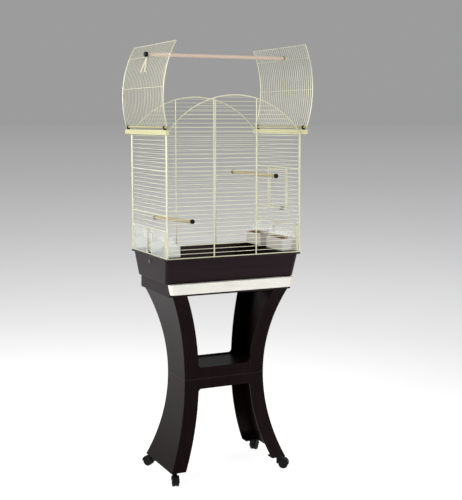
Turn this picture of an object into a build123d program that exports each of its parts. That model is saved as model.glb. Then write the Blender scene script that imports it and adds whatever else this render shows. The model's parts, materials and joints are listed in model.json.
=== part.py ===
from build123d import *
from math import asin, atan2, cos, degrees, floor, hypot, radians, sin, sqrt
import os

# Bird cage on a flared stand: a wire house with an arched front and rear, a roof of two
# curved leaves that swing open, a plastic base with a pull-out drawer, and a stand of two
# flared halves on casters.  Millimetres, +Z up, front towards -Y, origin on the floor
# under the middle of the cage.

# Clearances
slide_gap = 0.3          # between pieces that slide past each other
journal_gap = 0.05       # radial, a round pin in its hole
seat_gap = 0.3           # between a loose piece and what carries it
overrun = 1.0            # how far a cut runs past the face it opens

# Casters
wheel_radius = 18.0
wheel_width = 9.0
wheel_flats = 24         # the small round faces of a caster are cut to this many flats
caster_height = 46.0     # floor to the underside of the stand
caster_trail = 18.0      # swivel axis to axle
caster_inset = 19.0      # swivel axis from the corner of the stand's foot, each way
caster_web = 5.0
hood_wall = 2.0
hood_gap = 1.0           # hood to the wheels, round them and beside them
axle_radius = 2.5        # over the corners of its six flats
axle_flats = 6           # the axle bar is cut to this many flats
axle_recess = 1.0        # axle ends inside the outer faces of the wheels
stem_radius = 4.0
stem_length = 16.0
stem_boss_half = 8.0
caster_angles = {"front_left": -104.0, "rear_left": 128.0, "front_right": -34.0, "rear_right": 40.0}

# Stand
foot_width = 462.0
foot_depth = 260.0
waist_width = 317.0
waist_depth = 164.0
head_inset = 12.0        # stand's head inside the drawer housing, each side
lower_height = 327.0
upper_height = 317.0
stand_wall = 4.0
leg_flange = 56.0        # width of the front and rear face of each leg
waist_rail = 40.0        # height of the rail on each side of the waist seam
shelf_thickness = 4.0
shelf_lip = 5.0          # the rear rail stands this much above the shelf
opening_radius = 12.0    # inner corners of the leg openings

# Drawer housing, drawer and base tray
housing_inset_side = 12.0  # housing inside the tray's foot, left and right
housing_inset_end = 5.5  # and front and rear, where the stand's head is flush with it
housing_height = 47.0
housing_wall = 4.0
housing_sill = 9.0       # height of the front sill under the drawer
runner_width = 9.0
lug_size = 18.0
lug_drop = 10.0
drawer_front_reveal = 2.0  # housing seen beside the foot of the drawer front
drawer_front_flare = 8.0 # how much wider the front is at its top, each side
drawer_front_height = 36.0
drawer_front_thickness = 16.0
drawer_front_corner = 13.0  # radius of its upright corners, seen from above
drawer_scoop_radius = 70.0
drawer_scoop_depth = 4.0
drawer_wall = 2.5
pan_clearance = 1.5      # drawer pan to the housing, each side
drawer_depth = 274.0
drawer_pan_height = 30.0
tray_height = 90.0
tray_lip_side = 7.0      # rim beyond the top of the tray's wall, left and right
tray_lip_end = 11.5      # and front and rear
tray_wall = 3.0
tray_flare_width = 16.0  # how much wider the tray is below the rim than at its foot
tray_flare_depth = 48.0
tray_corner = 20.0
rim_overhang = 6.0       # rim beyond the wire body, each side
rim_thickness = 5.0
tray_ledge = 20.0        # floor left around the drop opening

# Floor grille
grille_frame = 4.0
grille_pitch = 15.0
grille_lap = 8.0         # how far the grille rests on the tray's ledge

# Wire body
body_width = 520.0
body_depth = 354.0
wall_height = 431.0      # tray rim to the spring of the arch
arch_rise = 136.0
frame_wire = 4.5
thin_wire = 2.0
row_pitch = 15.0
thick_upright = 82.0     # the two thick uprights of the front and rear, from the middle
door_sill_rise = 150.0   # door sill wire above the rim
door_head_rise = 304.0   # door head wire above the rim

# Feeders
bay_width = 128.0
bay_height = 98.0        # header wire above the rim
bay_centre = 88.0
cup_depth = 60.0
cup_height = 44.0
cup_wall = 2.0
cup_side_gap = 1.0
plate_lap = 3.0          # outer plate over the bay's wires
hood_radius = 38.0
hood_skin = 1.6

# Side door
door_wire = 3.0
door_opening = 140.0     # between the uprights beside the door
door_pin_radius = 1.5
door_end_gap = 4.0       # door frame to the sill and head wires
eyelet_half = 3.6
eyelet_height = 3.0
latch_width = 14.0
latch_wall = 2.5
latch_offset = -30.0

# Side rails and roof leaves
leaf_depth = 412.0
rail_width = 12.0
rail_height = 16.0
rail_wall = 1.2
rail_lap = 3.0           # rail's bottom edge below the spring of the arch
hinge_rod_radius = 4.0
hinge_rise = 9.0         # hinge axis above the rail
hinge_setback = 7.0      # hinge axis outside the wire body
clip_width = 8.0
clip_inset = 1.5         # clip from the edge wire, as a count of thin-wire pitches
clip_wall = 2.5
leaf_radius = 395.0      # of the leaf's middle line
leaf_clearance = 9.0     # leaf's middle line above the top of the arch when shut
leaf_meeting_gap = 7.0   # between the middle lines of the two tip bars when shut
leaf_wires = 13          # thin wires each side of the perch slot
leaf_wire_bends = 6      # straight steps that each of them is bent in
lean_left = 6.8          # how far each open leaf's chord leans in from upright, degrees
lean_right = 1.6
tip_bar = 3.0
lower_cross_share = 0.46 # place of the lower cross wire along the leaf

# Perches
perch_radius = 6.0
perch_cap_radius = 8.0
perch_cap_length = 8.0
low_perch_offset = -166.0
low_perch_row = 8           # row under its front end
low_perch_fall = 1          # rows that its rear end is set lower
high_perch_offset = 159.0
high_perch_row = 18
perch_cap_gap = 0.7         # cap to the thin wires, so that a sloping perch clears them
play_perch_radius = 6.5
play_perch_drop = 36.0   # play perch's axis below the lower leaf tip
play_cap_radius = 9.0
play_cap_length = 12.0
play_ring_length = 4.0
play_knob_radius = 7.5
play_side_gap = 1.2      # perch to the slot wires, and end pieces to the leaves
strut_thickness = 4.0
strut_width = 4.5
strut_drop = 52.0
strut_spread = 23.0

# Heights, from the floor up
foot_z = caster_height
waist_z = foot_z + lower_height
head_z = waist_z + upper_height
tray_z = head_z + housing_height
rim_z = tray_z + tray_height
eave_z = rim_z + wall_height
arch_radius = ((body_width / 2) ** 2 + arch_rise ** 2) / (2 * arch_rise)
apex_z = eave_z + arch_rise
arch_centre_z = apex_z - arch_radius

# Widths and depths of the base, from the wire body down to the stand's head
rim_width = body_width + 2 * rim_overhang
rim_depth = body_depth + 2 * rim_overhang
tray_foot_width = rim_width - 2 * tray_lip_side - tray_flare_width
tray_foot_depth = rim_depth - 2 * tray_lip_end - tray_flare_depth
housing_width = tray_foot_width - 2 * housing_inset_side
housing_depth = tray_foot_depth - 2 * housing_inset_end
head_width = housing_width - 2 * head_inset
head_depth = housing_depth

# Planes of the wire body: frame wires outside, thin wires laid on their inner side
front_skin = body_depth / 2
front_back = front_skin - frame_wire
front_inner = front_back - thin_wire
side_skin = body_width / 2
side_back = side_skin - frame_wire
side_inner = side_back - thin_wire
side_half = front_inner


def block(x0, x1, y0, y1, z0, z1):
    """A block between two values on each axis."""
    middle = Pos((x0 + x1) / 2, (y0 + y1) / 2, (z0 + z1) / 2)
    return middle * Box(abs(x1 - x0), abs(y1 - y0), abs(z1 - z0))


def post(radius, x, y, z0, z1):
    """An upright cylinder."""
    return Pos(x, y, (z0 + z1) / 2) * Cylinder(radius, z1 - z0)


def rod_y(radius, x, z, y0, y1):
    """A cylinder lying front to rear."""
    return Pos(x, (y0 + y1) / 2, z) * Rot(90, 0, 0) * Cylinder(radius, y1 - y0)


def rod_x(radius, y, z, x0, x1):
    """A cylinder lying left to right."""
    return Pos((x0 + x1) / 2, y, z) * Rot(0, 90, 0) * Cylinder(radius, x1 - x0)


def fuse(pieces):
    """One solid from several that touch."""
    whole = pieces[0]
    for piece in pieces[1:]:
        whole += piece
    return whole


def save(name, *solids):
    """Write one node, as a solid or as a group of separate solids."""
    loose = []
    for item in solids:
        loose.extend(item.solids())
    shape = loose[0] if len(loose) == 1 else Compound(children=loose)
    shape.label = name
    export_step(shape, "parts/" + name + ".step")


# ---------------------------------------------------------------- stand

def flare_half(waist, end, height, z):
    """Half width of a flared half, z from the waist: upright there, then out in an arc."""
    bulge = end - waist
    radius = (height ** 2 + bulge ** 2) / (2 * bulge)
    return waist + radius - sqrt(radius ** 2 - z ** 2)


def flare_face(waist, end, height, z0, z1):
    """The flared outline between two heights above the waist."""
    marks = [(flare_half(waist, end, height, z), z) for z in (z0, (z0 + z1) / 2, z1)]
    mirrored = [(-x, z) for x, z in marks]
    right = ThreePointArc(*marks)
    left = ThreePointArc(*reversed(mirrored))
    top = Line(marks[2], mirrored[2])
    bottom = Line(mirrored[0], marks[0])
    return make_face([right, top, left, bottom])


def flared_block(end_width, end_depth, height, inset, z0, z1):
    """A block that flares on all four sides from the waist section."""
    across = flare_face(waist_width / 2 - inset, end_width / 2 - inset, height, z0, z1)
    along = flare_face(waist_depth / 2 - inset, end_depth / 2 - inset, height, z0, z1)
    wide = extrude(Plane.XZ * across, amount=end_depth, both=True)
    deep = extrude(Plane.YZ * along, amount=end_width, both=True)
    return wide & deep


def leg_window(end_width, end_depth, height, sill, side):
    """The opening between two legs, on one side, with rounded corners at the waist rail."""
    past = height + shelf_lip
    face = flare_face(waist_width / 2 - leg_flange, end_width / 2 - leg_flange, height, sill, past)
    corners = face.vertices().sort_by(Axis.Y)[:2]
    face = fillet(corners, opening_radius)
    through = extrude(Plane.XZ * face, amount=end_depth, both=True)
    half_space = block(-end_width, end_width, 0, side * end_depth, -past, 2 * past)
    return through & half_space


def stand_shell(end_width, end_depth, height, rear_sill):
    """Side walls, leg flanges and waist rails of one half, waist at z = 0, flaring up."""
    outer = flared_block(end_width, end_depth, height, 0, 0, height)
    hollow = flared_block(end_width, end_depth, height, stand_wall, -stand_wall, height + stand_wall)
    shell = outer - hollow
    shell -= leg_window(end_width, end_depth, height, waist_rail, -1)
    shell -= leg_window(end_width, end_depth, height, rear_sill, 1)
    return shell, hollow


def corners(half_x, half_y):
    """The four corner places, each with the signs of its side."""
    return [(sx * half_x, sy * half_y, sx, sy) for sx in (-1, 1) for sy in (-1, 1)]


def upper_stand():
    shell, hollow = stand_shell(head_width, head_depth, upper_height, waist_rail + shelf_lip)
    reach = waist_width
    slab = block(-reach, reach, -reach, reach, waist_rail - shelf_thickness, waist_rail)
    shell += slab & hollow
    return Pos(0, 0, waist_z) * shell


caster_x = foot_width / 2 - caster_inset
caster_y = foot_depth / 2 - caster_inset


def lower_stand():
    shell, hollow = stand_shell(foot_width, foot_depth, lower_height, waist_rail)
    reach = waist_width
    shell += block(-reach, reach, -reach, reach, 0, stand_wall) & hollow
    outer = flared_block(foot_width, foot_depth, lower_height, 0, 0, lower_height)
    for x, y, sx, sy in corners(caster_x, caster_y):
        out_x, out_y = sx * foot_width, sy * foot_depth
        inner_x = x - sx * (leg_flange - caster_inset)
        inner_y = y - sy * caster_inset
        pad = block(inner_x, out_x, inner_y, out_y, lower_height - stand_wall, lower_height)
        boss_x = x - sx * stem_boss_half
        boss_y = y - sy * stem_boss_half
        boss_low = lower_height - stem_length - stand_wall
        boss = block(boss_x, out_x, boss_y, out_y, boss_low, lower_height)
        shell += (pad + boss) & outer
    for x, y, sx, sy in corners(caster_x, caster_y):
        bore_top = lower_height - stem_length - seat_gap
        shell -= post(stem_radius + journal_gap, x, y, bore_top, lower_height + overrun)
    return Pos(0, 0, waist_z) * mirror(shell, about=Plane.XY)


# ---------------------------------------------------------------- casters

def caster_place(corner):
    """The swivel axis of one caster, turned the way its wheels trail."""
    sx = 1 if corner.endswith("right") else -1
    sy = 1 if corner.startswith("rear") else -1
    return Pos(sx * caster_x, sy * caster_y, 0) * Rot(0, 0, caster_angles[corner])


hood_inner = wheel_radius + hood_gap
hood_half = caster_web / 2 + slide_gap + wheel_width + hood_gap
axle_half = caster_web / 2 + slide_gap + wheel_width - axle_recess


def wheel_block(radius, y0, y1):
    """A wheel-shaped block about the axle, cut to flats, one of them at its foot."""
    outline = RegularPolygon(radius, wheel_flats, major_radius=False, rotation=180 / wheel_flats)
    return Pos(caster_trail, y1, wheel_radius) * extrude(Plane.XZ * outline, amount=y1 - y0)


def caster_fork():
    """Web between the wheels, curved hood over them and the swivel stem."""
    top = caster_height - slide_gap
    hood = wheel_block(hood_inner + hood_wall, -hood_half, hood_half)
    hood -= wheel_block(hood_inner, -hood_half, hood_half)
    upper = block(-foot_depth, foot_depth, -foot_depth, foot_depth, wheel_radius, caster_height)
    web = wheel_block(wheel_radius - hood_wall, -caster_web / 2, caster_web / 2)
    rib = wheel_block(hood_inner, -caster_web / 2, caster_web / 2)
    neck = block(-stem_boss_half, stem_boss_half, -stem_boss_half, stem_boss_half, wheel_radius, top)
    neck -= wheel_block(hood_inner, -hood_half, hood_half)
    stem = post(stem_radius, 0, 0, top - overrun, caster_height + stem_length)
    fork = (hood & upper) + (rib & upper) + web + neck + stem
    return fork - rod_y(axle_radius + journal_gap, caster_trail, wheel_radius, -hood_half, hood_half)


def axle_bar(half_length):
    """A six-sided bar about the axle line, which turns in the web and keys the wheels."""
    outline = RegularPolygon(axle_radius, axle_flats)
    bar = extrude(Plane.XZ * outline, amount=half_length, both=True)
    return Pos(caster_trail, 0, wheel_radius) * bar


def caster_wheels():
    inner = caster_web / 2 + slide_gap
    right = wheel_block(wheel_radius, inner, inner + wheel_width) - axle_bar(hood_half)
    return [mirror(right, about=Plane.XZ), right]


# ---------------------------------------------------------------- base

runner_z = head_z + housing_sill
pan_z = runner_z + slide_gap
front_plate_z = pan_z
pan_half = housing_width / 2 - housing_wall - pan_clearance


def base_housing():
    half_x, half_y = housing_width / 2, housing_depth / 2
    solid = block(-half_x, half_x, -half_y, half_y, head_z, tray_z)
    room_x = half_x - housing_wall
    solid -= block(-room_x, room_x, -half_y - overrun, half_y - housing_wall, runner_z, tray_z + overrun)
    well_x = room_x - runner_width
    floor_z = head_z + housing_wall
    solid -= block(-well_x, well_x, -half_y + housing_wall, half_y - housing_wall, floor_z, tray_z)
    reach_x = flare_half(waist_width / 2, head_width / 2, upper_height, upper_height - lug_drop)
    reach_y = flare_half(waist_depth / 2, head_depth / 2, upper_height, upper_height - lug_drop)
    out_x = reach_x - stand_wall - seat_gap
    out_y = reach_y - stand_wall - seat_gap
    for x, y, _, _ in corners(out_x - lug_size / 2, out_y - lug_size / 2):
        half = lug_size / 2
        solid += block(x - half, x + half, y - half, y + half, head_z - lug_drop, head_z)
    return solid


def debris_drawer():
    back = -housing_depth / 2 - slide_gap
    foot_x = housing_width / 2 - drawer_front_reveal
    top_x = foot_x + drawer_front_flare
    front_top = front_plate_z + drawer_front_height
    foot = [(-foot_x, front_plate_z), (foot_x, front_plate_z)]
    top = [(top_x, front_top), (-top_x, front_top)]
    outline = Polyline(*foot, *top, close=True)
    face = Plane.XZ * make_face(outline)
    plate = Pos(0, back, 0) * extrude(face, amount=drawer_front_thickness)
    front_edges = plate.edges().group_by(Axis.Y)[0]
    plate = fillet([edge for edge in front_edges if abs(edge.center().X) > foot_x], drawer_front_corner)
    scoop_y = back - drawer_front_thickness - drawer_scoop_radius + drawer_scoop_depth
    scoop = post(drawer_scoop_radius, 0, scoop_y, front_plate_z + drawer_front_height / 2, tray_z)
    plate -= scoop
    pan_top = pan_z + drawer_pan_height
    pan = block(-pan_half, pan_half, back, back + drawer_depth, pan_z, pan_top)
    inner_x = pan_half - drawer_wall
    rear = back + drawer_depth - drawer_wall
    pan -= block(-inner_x, inner_x, back + drawer_wall, rear, pan_z + drawer_wall, pan_top + overrun)
    return plate + pan


def tray_block(inset, z0, z1):
    """The tray's flared block between its foot and the underside of the rim."""
    foot = RectangleRounded(tray_foot_width - 2 * inset, tray_foot_depth - 2 * inset, tray_corner - inset)
    head_w = tray_foot_width + tray_flare_width - 2 * inset
    head_d = tray_foot_depth + tray_flare_depth - 2 * inset
    head = RectangleRounded(head_w, head_d, tray_corner - inset)
    return loft([Pos(0, 0, z0) * foot, Pos(0, 0, z1) * head], ruled=True)


def base_tray():
    solid = tray_block(0, tray_z, rim_z - rim_thickness)
    rim = Pos(0, 0, rim_z - rim_thickness) * extrude(
        RectangleRounded(rim_width, rim_depth, tray_corner), amount=rim_thickness)
    solid += rim
    solid -= tray_block(tray_wall, tray_z + tray_wall, rim_z + overrun)
    drop_x = tray_foot_width / 2 - tray_wall - tray_ledge
    drop_y = tray_foot_depth / 2 - tray_wall - tray_ledge
    solid -= block(-drop_x, drop_x, -drop_y, drop_y, tray_z - overrun, tray_z + 2 * tray_wall)
    return solid


def floor_grille():
    """Wire floor over the drawer: a frame on the tray's ledge with bars laid on it."""
    half_x = tray_foot_width / 2 - tray_wall - tray_ledge + grille_lap
    half_y = tray_foot_depth / 2 - tray_wall - tray_ledge + grille_lap
    low = tray_z + tray_wall + seat_gap
    top = low + grille_frame
    open_x, open_y = half_x - grille_frame, half_y - grille_frame
    frame = []
    for side in (-1, 1):
        frame.append(block(side * half_x, side * open_x, -half_y, half_y, low, top))
        frame.append(block(-open_x, open_x, side * half_y, side * open_y, low, top))
    count = floor(2 * open_x / grille_pitch)
    first = -grille_pitch * (count - 1) / 2
    bars = []
    for index in range(count):
        x = first + index * grille_pitch
        bars.append(block(x - thin_wire / 2, x + thin_wire / 2, -half_y, half_y, top, top + thin_wire))
    return frame + bars


# ---------------------------------------------------------------- wire body

def row_z(index):
    """Middle of one thin horizontal wire, counted from the rim."""
    return rim_z + frame_wire / 2 + index * row_pitch


def arched_face(inset):
    """Outline of the front: straight sides and a round arch, drawn in by an inset."""
    half = body_width / 2 - inset
    radius = arch_radius - inset
    spring = arch_centre_z + sqrt(radius ** 2 - half ** 2)
    low = rim_z + inset
    arch = ThreePointArc((half, spring), (0, arch_centre_z + radius), (-half, spring))
    sides = Polyline((-half, spring), (-half, low), (half, low), (half, spring))
    return make_face([arch] + sides.edges())


def end_panel(side):
    """Front (-1) or rear (1) panel: one bent frame with two uprights, thin rows inside it."""
    outline = arched_face(0)
    frame = outline - arched_face(frame_wire)
    for x in (-thick_upright, thick_upright):
        strip = Pos(x, (rim_z + apex_z) / 2) * Rectangle(frame_wire, apex_z - rim_z)
        frame += strip & outline
    outer = side * front_skin if side > 0 else -front_back
    pieces = [Pos(0, outer, 0) * extrude(Plane.XZ * frame, amount=frame_wire)]
    index = 1
    reach = arch_radius - frame_wire / 2
    while row_z(index) + thin_wire < apex_z - frame_wire:
        z = row_z(index)
        half = body_width / 2 - frame_wire / 2
        if z + thin_wire / 2 > eave_z:
            half = sqrt(reach ** 2 - (z + thin_wire / 2 - arch_centre_z) ** 2)
        low, high = z - thin_wire / 2, z + thin_wire / 2
        pieces.append(block(-half, half, side * front_back, side * front_inner, low, high))
        index += 1
    return pieces


sill_z = rim_z + door_sill_rise
head_wire_z = rim_z + door_head_rise
header_z = rim_z + bay_height
post_in = side_half - frame_wire
bay_low = bay_centre - bay_width / 2
bay_high = bay_centre + bay_width / 2


def side_panel(side, with_door):
    """Left (-1) or right (1) panel between the end panels, with two feeder bays."""
    x0, x1 = side * side_skin, side * side_back
    half_wire = frame_wire / 2
    pieces = []
    for s in (-1, 1):
        pieces.append(block(x0, x1, s * side_half, s * post_in, rim_z, eave_z))
    for z in (rim_z + half_wire, header_z, sill_z, head_wire_z, eave_z - half_wire):
        pieces.append(block(x0, x1, -post_in, post_in, z - half_wire, z + half_wire))
    for s in (-1, 1):
        for edge in (bay_low - frame_wire, bay_high):
            y0, y1 = s * edge, s * (edge + frame_wire)
            pieces.append(block(x0, x1, y0, y1, rim_z + frame_wire, header_z - half_wire))
        if with_door:
            y0, y1 = s * door_opening / 2, s * (door_opening / 2 + frame_wire)
            pieces.append(block(x0, x1, y0, y1, sill_z + half_wire, head_wire_z - half_wire))
    return pieces + side_rows(side, with_door)


def side_rows(side, with_door):
    """The thin wires of a side panel, broken at the feeder bays and at the door."""
    rows = []
    bays = [(-side_half, -bay_high), (-bay_low, bay_low), (bay_high, side_half)]
    beside_door = [(-side_half, -door_opening / 2), (door_opening / 2, side_half)]
    index = 1
    while row_z(index) + thin_wire < eave_z - frame_wire:
        z = row_z(index)
        spans = [(-side_half, side_half)]
        if z + thin_wire / 2 < header_z + frame_wire / 2:
            spans = bays
        elif with_door and sill_z - frame_wire < z < head_wire_z + frame_wire:
            spans = beside_door
        low, high = z - thin_wire / 2, z + thin_wire / 2
        for y0, y1 in spans:
            rows.append(block(side * side_back, side * side_inner, y0, y1, low, high))
        index += 1
    return rows


# ---------------------------------------------------------------- feeders

def feeder_cup(side, centre):
    """Open cup with a plate that closes the bay from outside."""
    outside = side_skin + slide_gap
    half = bay_width / 2 - cup_side_gap
    low = rim_z + frame_wire + seat_gap
    inner = outside - cup_depth
    cup = block(inner, outside + cup_wall, -half, half, low, low + cup_height)
    room = block(inner + cup_wall, outside, cup_wall - half, half - cup_wall, low + cup_wall, header_z)
    cup -= room
    lap = half + cup_side_gap + plate_lap
    top = header_z + plate_lap
    cup += block(outside, outside + cup_wall, -lap, lap, rim_z + frame_wire / 2, top)
    cup = Pos(0, centre, 0) * cup
    return cup if side > 0 else mirror(cup, about=Plane.YZ)


def feeder_hood(side, centre):
    """Clear quarter-round hood over the rear of the cup, with a cheek at each end."""
    outside = side_skin + slide_gap
    half = bay_width / 2 - cup_side_gap
    low = rim_z + frame_wire + seat_gap + cup_height
    drum = rod_y(hood_radius, outside, low, -half, half)
    bore = rod_y(hood_radius - hood_skin, outside, low, hood_skin - half, half - hood_skin)
    quarter = block(outside - 2 * hood_radius, outside, -half, half, low, low + 2 * hood_radius)
    hood = Pos(0, centre, 0) * ((drum - bore) & quarter)
    return hood if side > 0 else mirror(hood, about=Plane.YZ)


# ---------------------------------------------------------------- side door

door_axis_x = side_skin + eyelet_half
door_axis_y = door_opening / 2 - door_pin_radius
door_low = sill_z + frame_wire / 2 + door_end_gap
door_high = head_wire_z - frame_wire / 2 - door_end_gap


def door_eyelets():
    """Two eyes on the sill and head wires that carry the door's pin."""
    eyes = []
    for z in (sill_z, head_wire_z):
        low, high = z - eyelet_height / 2, z + eyelet_height / 2
        half = eyelet_half
        eye = block(side_skin, door_axis_x + half, door_axis_y - half, door_axis_y + half, low, high)
        eye -= post(door_pin_radius + journal_gap, door_axis_x, door_axis_y, low - overrun, high + overrun)
        eyes.append(eye)
    return eyes


def side_door():
    """Wire door: a frame bent from one wire whose hinge side runs on as the pin."""
    half = door_wire / 2
    x0, x1 = door_axis_x - half, door_axis_x + half
    free = -door_opening / 2 + door_wire
    pin_low = sill_z - eyelet_height
    pin_high = head_wire_z + eyelet_height
    pin = post(door_pin_radius, door_axis_x, door_axis_y, pin_low, pin_high)
    collar_low = sill_z + eyelet_height / 2 + seat_gap
    collar = post(eyelet_half - slide_gap, door_axis_x, door_axis_y, collar_low, door_low + half)
    frame = [pin, collar]
    for z in (door_low, door_high - door_wire):
        frame.append(block(x0, x1, free, door_axis_y, z, z + door_wire))
    frame.append(block(x0, x1, free - door_wire, free, door_low, door_high))
    pieces = [fuse(frame)]
    index = 1
    while row_z(index) < door_high - door_wire - thin_wire:
        z = row_z(index)
        if z > door_low + door_wire + thin_wire:
            low, high = z - thin_wire / 2, z + thin_wire / 2
            near = door_axis_y - door_pin_radius
            wire = block(door_axis_x - thin_wire / 2, door_axis_x + thin_wire / 2, free, near, low, high)
            pieces.append(wire)
        index += 1
    return pieces


def door_latch():
    """Plastic catch that snaps over the sill wire and is carried by the door's lower wire."""
    jaw_gap = frame_wire / 2 + slide_gap
    y0, y1 = latch_offset - latch_width / 2, latch_offset + latch_width / 2
    outer = door_axis_x + door_wire / 2 + latch_wall
    low = sill_z - jaw_gap - latch_wall
    high = door_low
    body = block(side_skin - frame_wire, outer, y0, y1, low, high)
    cut_x0, cut_x1 = side_inner - overrun, side_skin + slide_gap
    cut_y0, cut_y1 = y0 - overrun, y1 + overrun
    body -= block(cut_x0, cut_x1, cut_y0, cut_y1, sill_z - jaw_gap, sill_z + jaw_gap)
    body -= block(cut_x0, cut_x1, cut_y0, cut_y1, sill_z + jaw_gap + latch_wall, high + overrun)
    return body


# ---------------------------------------------------------------- side rails and hinges

rail_top = eave_z - rail_lap + rail_height
hinge_x = side_skin + hinge_setback
hinge_z = rail_top + hinge_rise


def mirrored(piece, side):
    """The right-hand piece, or its left-hand twin."""
    return piece if side > 0 else mirror(piece, about=Plane.YZ)


def side_rail(side):
    """Brass tube along the top of a side, standing out past the front and rear."""
    outer = block(side_skin, side_skin + rail_width, -leaf_depth / 2, leaf_depth / 2,
                  rail_top - rail_height, rail_top)
    bore = block(side_skin + rail_wall, side_skin + rail_width - rail_wall, -leaf_depth, leaf_depth,
                 rail_top - rail_height + rail_wall, rail_top - rail_wall)
    return mirrored(outer - bore, side)


slot_half = play_perch_radius + play_side_gap + thin_wire / 2
edge_y = leaf_depth / 2 - frame_wire / 2
leaf_pitch = (edge_y - slot_half) / leaf_wires
clip_y = edge_y - clip_inset * leaf_pitch


def hinge_clips(side):
    """Two saddles on the rail that hold the leaf's hinge rod."""
    clips = []
    half = hinge_rod_radius + clip_wall
    for y in (-clip_y, clip_y):
        y0, y1 = y - clip_width / 2, y + clip_width / 2
        clip = block(hinge_x - half, hinge_x + half, y0, y1, rail_top, hinge_z + half)
        clip -= rod_y(hinge_rod_radius + journal_gap, hinge_x, hinge_z, y0 - overrun, y1 + overrun)
        clips.append(mirrored(clip, side))
    return clips


def hinge_rod(side):
    rod = rod_y(hinge_rod_radius, hinge_x, hinge_z, -leaf_depth / 2, leaf_depth / 2)
    return mirrored(rod, side)


# ---------------------------------------------------------------- roof leaves

# A leaf's middle line is an arc from the hinge axis to its tip.  Its length is what brings
# the tip to the meeting line over the arch when the leaf is shut.
leaf_rise = apex_z + leaf_clearance - hinge_z
leaf_chord = hypot(hinge_x - leaf_meeting_gap / 2, leaf_rise)
leaf_sweep = 2 * degrees(asin(leaf_chord / 2 / leaf_radius))
leaf_outside = leaf_radius + thin_wire / 2 + thin_wire


def leaf_arc(lean):
    """Centre and start angle of an open leaf's arc, for the right-hand leaf."""
    tilt = radians(lean)
    half = leaf_chord / 2
    reach = sqrt(leaf_radius ** 2 - half ** 2)
    centre_x = hinge_x - half * sin(tilt) - reach * cos(tilt)
    centre_z = hinge_z + half * cos(tilt) - reach * sin(tilt)
    start = degrees(atan2(hinge_z - centre_z, hinge_x - centre_x))
    return centre_x, centre_z, start


def arc_point(arc, radius, angle):
    cx, cz, start = arc
    turned = radians(start + angle)
    return cx + radius * cos(turned), cz + radius * sin(turned)


def sector(arc, inner, outer, a0, a1, y0, y1):
    """A bar bent round the leaf's arc: between two radii, two angles and two depths."""
    middle = (a0 + a1) / 2
    outside = [arc_point(arc, outer, angle) for angle in (a0, middle, a1)]
    inside = [arc_point(arc, inner, angle) for angle in (a1, middle, a0)]
    ends = [Line(outside[2], inside[0]), Line(inside[2], outside[0])]
    face = make_face([ThreePointArc(*outside), ThreePointArc(*inside)] + ends)
    return Pos(0, y1, 0) * extrude(Plane.XZ * face, amount=y1 - y0)


def stepped(arc, inner, outer, a0, a1, y0, y1, bends=1):
    """The same bar, bent in straight steps with its corners on the arc."""
    angles = [a0 + (a1 - a0) * step / bends for step in range(bends + 1)]
    outside = [arc_point(arc, outer, angle) for angle in angles]
    inside = [arc_point(arc, inner, angle) for angle in reversed(angles)]
    face = make_face(Polyline(*outside, *inside, close=True))
    return Pos(0, y1, 0) * extrude(Plane.XZ * face, amount=y1 - y0)


arcs = {-1: leaf_arc(lean_left), 1: leaf_arc(lean_right)}


def tip_height(side):
    _, cz, start = arcs[side]
    return cz + leaf_radius * sin(radians(start + leaf_sweep))


play_z = min(tip_height(-1), tip_height(1)) - play_perch_drop
saddle_z = play_z - play_perch_radius - seat_gap - thin_wire / 2


def turn_at(arc, radius, z):
    """Angle along the leaf, from the hinge, at which an arc of this radius reaches a height."""
    return degrees(asin((z - arc[1]) / radius)) - arc[2]


def roof_leaf(side):
    """Two edge wires, thin wires between them, cross wires outside and a split tip bar."""
    arc = arcs[side]
    half_frame, half_thin = frame_wire / 2, thin_wire / 2
    first = degrees(hinge_rod_radius / leaf_radius)
    tip = degrees(tip_bar / leaf_radius)
    last = leaf_sweep - tip
    pieces = []
    inner, outer = leaf_radius - half_frame, leaf_radius + half_frame
    for s in (-1, 1):
        y0, y1 = s * edge_y - half_frame, s * edge_y + half_frame
        pieces.append(sector(arc, inner, outer, first, leaf_sweep, y0, y1))
    for index in range(leaf_wires):
        y = slot_half + index * leaf_pitch
        for s in (-1, 1):
            y0, y1 = s * y - half_thin, s * y + half_thin
            bounds = (leaf_radius - half_thin, leaf_radius + half_thin, first, last, y0, y1)
            pieces.append(stepped(arc, *bounds, bends=leaf_wire_bends))
    for s in (-1, 1):
        ends = sorted((s * (slot_half - half_thin), s * (edge_y - half_frame)))
        half_tip = tip_bar / 2
        pieces.append(stepped(arc, leaf_radius - half_tip, leaf_radius + half_tip, last, leaf_sweep, *ends))
    cross_radius = leaf_radius + half_thin
    centre = cross_radius + half_thin
    half_turn = degrees(half_thin / centre)
    reach = edge_y - half_frame
    for turn in (lower_cross_share * leaf_sweep, turn_at(arc, centre, saddle_z)):
        outer = cross_radius + thin_wire
        pieces.append(stepped(arc, cross_radius, outer, turn - half_turn, turn + half_turn, -reach, reach))
    return [mirrored(piece, side) for piece in pieces]


def leaf_face_x(side, z, radius):
    """How far out an open leaf's surface of this radius is at a height."""
    cx, cz, _ = arcs[side]
    return cx + sqrt(radius ** 2 - (z - cz) ** 2)


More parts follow.
